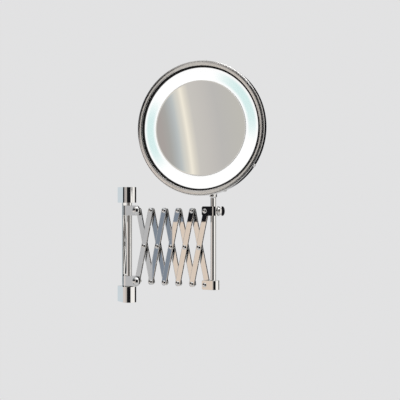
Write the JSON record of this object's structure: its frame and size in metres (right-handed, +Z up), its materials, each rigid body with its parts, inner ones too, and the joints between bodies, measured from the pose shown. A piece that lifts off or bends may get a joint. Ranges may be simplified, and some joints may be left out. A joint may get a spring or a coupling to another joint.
{
  "type": "extendable shaving mirror",
  "caption": "Wall-mounted chrome scissor arm that swings and draws out, carrying a tilting round magnifying mirror with a lit white ring and a push switch.",
  "frame": {"origin": "middle of the wall strip's rear face, halfway up the wall unit, on the wall plane", "axes": "+Y into the wall, so the mirror stands out towards -Y; +Z up; +X to the right when facing the wall"},
  "size_m": [0.1771, 0.3035, 0.4289],
  "materials": {
    "chrome": "polished",
    "inner_steel": "satin",
    "dark_screw": "satin",
    "nylon": "matte",
    "spacer_nylon": "matte",
    "black_rubber": "matte",
    "opal": "satin",
    "mirror_glass": "polished",
    "white_lacquer": "satin",
    "led_cap": "satin",
    "dark_plastic": "matte",
    "button_cap": "satin"
  },
  "bodies": {
    "wall_mount": {"wall_plate": "chrome", "upper_bracket": "chrome", "lower_bracket": "chrome", "wall_rod": "chrome", "bracket_set_screws": "dark_screw", "glide_washer": "nylon"},
    "lower_wall_collar": {"lower_wall_collar": "chrome", "lower_wall_pivot_screw": "chrome", "lower_wall_spacer": "spacer_nylon"},
    "upper_wall_collar": {"upper_wall_collar": "chrome", "upper_wall_pivot_screw": "chrome", "upper_wall_spacer": "spacer_nylon"},
    "front_bar_1": {"front_bar_1": "chrome", "rivets_1": "chrome", "spacers_1": "spacer_nylon"},
    "rear_bar_1": {"rear_bar_1": "chrome"},
    "front_bar_2": {"front_bar_2": "chrome", "rivets_2": "chrome", "spacers_2": "spacer_nylon"},
    "rear_bar_2": {"rear_bar_2": "chrome"},
    "front_bar_3": {"front_bar_3": "chrome", "rivets_3": "chrome", "spacers_3": "spacer_nylon"},
    "rear_bar_3": {"rear_bar_3": "chrome"},
    "front_bar_4": {"front_bar_4": "chrome", "rivets_4": "chrome", "spacers_4": "spacer_nylon"},
    "rear_bar_4": {"rear_bar_4": "chrome"},
    "front_bar_5": {"front_bar_5": "chrome", "rivets_5": "chrome", "spacers_5": "spacer_nylon"},
    "rear_bar_5": {"rear_bar_5": "chrome"},
    "lower_end_block": {"lower_end_block": "chrome", "lower_end_pivot_screw": "chrome", "lower_end_spacer": "spacer_nylon"},
    "upper_end_collar": {"upper_end_collar": "chrome", "upper_end_pivot_screw": "chrome", "upper_end_spacer": "spacer_nylon"},
    "clamp_pad": {"clamp_pad": "nylon"},
    "clamp_knob": {"clamp_knob": "chrome"},
    "mirror_rod": {"mirror_rod": "chrome", "rod_end_screw": "dark_screw", "tilt_fork": "chrome", "tilt_pin": "chrome"},
    "mirror_head": {"tilt_lug": "chrome", "lug_screws": "chrome", "rear_housing": "chrome", "bezel_ring": "chrome", "bezel_screws": "chrome", "front_seal": "black_rubber", "diffuser_ring": "opal", "mirror_glass": "mirror_glass", "mirror_carrier": "inner_steel", "light_pan": "white_lacquer", "led_board": "white_lacquer", "leds": "led_cap", "led_driver": "dark_plastic", "switch_body": "dark_plastic", "cable_gland": "dark_plastic"},
    "switch_button": {"switch_button": "button_cap"}
  },
  "joints": [
    {"name": "arm_swing", "type": "hinge", "parent": "wall_mount", "child": "lower_wall_collar", "pos_m": [0, -0.0265, -0.0672], "axis": [0, 0, 1], "range_deg": [-110, 40]},
    {"name": "extend", "type": "hinge", "parent": "lower_wall_collar", "child": "front_bar_1", "pos_m": [0.01147, -0.04288, -0.0672], "axis": [0.8192, 0.5736, 0], "range_deg": [-6.5, 47]},
    {"name": "scissor_mid_1", "type": "hinge", "parent": "front_bar_1", "child": "rear_bar_1", "pos_m": [0.01986, -0.05486, -0.00181], "axis": [0.8192, 0.5736, 0], "range_deg": [-95, 14]},
    {"name": "scissor_low_1", "type": "hinge", "parent": "rear_bar_1", "child": "front_bar_2", "pos_m": [0.02824, -0.06683, -0.0672], "axis": [0.8192, 0.5736, 0], "range_deg": [-14, 95]},
    {"name": "scissor_mid_2", "type": "hinge", "parent": "front_bar_2", "child": "rear_bar_2", "pos_m": [0.03662, -0.0788, -0.00181], "axis": [0.8192, 0.5736, 0], "range_deg": [-95, 14]},
    {"name": "scissor_low_2", "type": "hinge", "parent": "rear_bar_2", "child": "front_bar_3", "pos_m": [0.045, -0.09077, -0.0672], "axis": [0.8192, 0.5736, 0], "range_deg": [-14, 95]},
    {"name": "scissor_mid_3", "type": "hinge", "parent": "front_bar_3", "child": "rear_bar_3", "pos_m": [0.05339, -0.10275, -0.00181], "axis": [0.8192, 0.5736, 0], "range_deg": [-95, 14]},
    {"name": "scissor_low_3", "type": "hinge", "parent": "rear_bar_3", "child": "front_bar_4", "pos_m": [0.06177, -0.11472, -0.0672], "axis": [0.8192, 0.5736, 0], "range_deg": [-14, 95]},
    {"name": "scissor_mid_4", "type": "hinge", "parent": "front_bar_4", "child": "rear_bar_4", "pos_m": [0.07015, -0.12669, -0.00181], "axis": [0.8192, 0.5736, 0], "range_deg": [-95, 14]},
    {"name": "scissor_low_4", "type": "hinge", "parent": "rear_bar_4", "child": "front_bar_5", "pos_m": [0.07854, -0.13866, -0.0672], "axis": [0.8192, 0.5736, 0], "range_deg": [-14, 95]},
    {"name": "scissor_mid_5", "type": "hinge", "parent": "front_bar_5", "child": "rear_bar_5", "pos_m": [0.08692, -0.15063, -0.00181], "axis": [0.8192, 0.5736, 0], "range_deg": [-95, 14]},
    {"name": "upper_wall_pivot", "type": "hinge", "parent": "rear_bar_1", "child": "upper_wall_collar", "pos_m": [0.01147, -0.04288, 0.06357], "axis": [0.8192, 0.5736, 0], "range_deg": [-7, 48]},
    {"name": "lower_end_pivot", "type": "hinge", "parent": "rear_bar_5", "child": "lower_end_block", "pos_m": [0.0953, -0.16261, -0.0672], "axis": [0.8192, 0.5736, 0], "range_deg": [-7, 48]},
    {"name": "upper_end_pivot", "type": "hinge", "parent": "front_bar_5", "child": "upper_end_collar", "pos_m": [0.0953, -0.16261, 0.06357], "axis": [0.8192, 0.5736, 0], "range_deg": [-48, 7]},
    {"name": "mirror_swivel", "type": "hinge", "parent": "lower_end_block", "child": "mirror_rod", "pos_m": [0.10276, -0.17326, -0.0672], "axis": [0, 0, 1], "range_deg": [-25, 120]},
    {"name": "head_tilt", "type": "hinge", "parent": "mirror_rod", "child": "mirror_head", "pos_m": [0.10276, -0.17326, 0.095], "axis": [0.7009, -0.7133, 0], "range_deg": [-30, 12]},
    {"name": "clamp_travel", "type": "slide", "parent": "upper_end_collar", "child": "clamp_pad", "axis": [0.5736, -0.8192, 0], "range_m": [0, 0.0013]},
    {"name": "clamp_turn", "type": "hinge", "parent": "clamp_pad", "child": "clamp_knob", "pos_m": [0.10276, -0.17326, 0.06357], "axis": [0.5736, -0.8192, 0], "range_deg": [0, 540]},
    {"name": "switch_press", "type": "slide", "parent": "mirror_head", "child": "switch_button", "axis": [-0.2626, 0.2672, 0.9272], "range_m": [0, 0.0012], "stiffness_N_per_m": 400}
  ],
  "couplings": [
    {"joint": "scissor_mid_1", "follows": "extend", "ratio": -2},
    {"joint": "scissor_low_1", "follows": "extend", "ratio": 2},
    {"joint": "scissor_mid_2", "follows": "extend", "ratio": -2},
    {"joint": "scissor_low_2", "follows": "extend", "ratio": 2},
    {"joint": "scissor_mid_3", "follows": "extend", "ratio": -2},
    {"joint": "scissor_low_3", "follows": "extend", "ratio": 2},
    {"joint": "scissor_mid_4", "follows": "extend", "ratio": -2},
    {"joint": "scissor_low_4", "follows": "extend", "ratio": 2},
    {"joint": "scissor_mid_5", "follows": "extend", "ratio": -2},
    {"joint": "upper_wall_pivot", "follows": "extend", "ratio": 1},
    {"joint": "lower_end_pivot", "follows": "extend", "ratio": 1},
    {"joint": "upper_end_pivot", "follows": "extend", "ratio": -1},
    {"joint": "clamp_travel", "follows": "clamp_turn", "m_per_rad": 0.00012732}
  ]
}
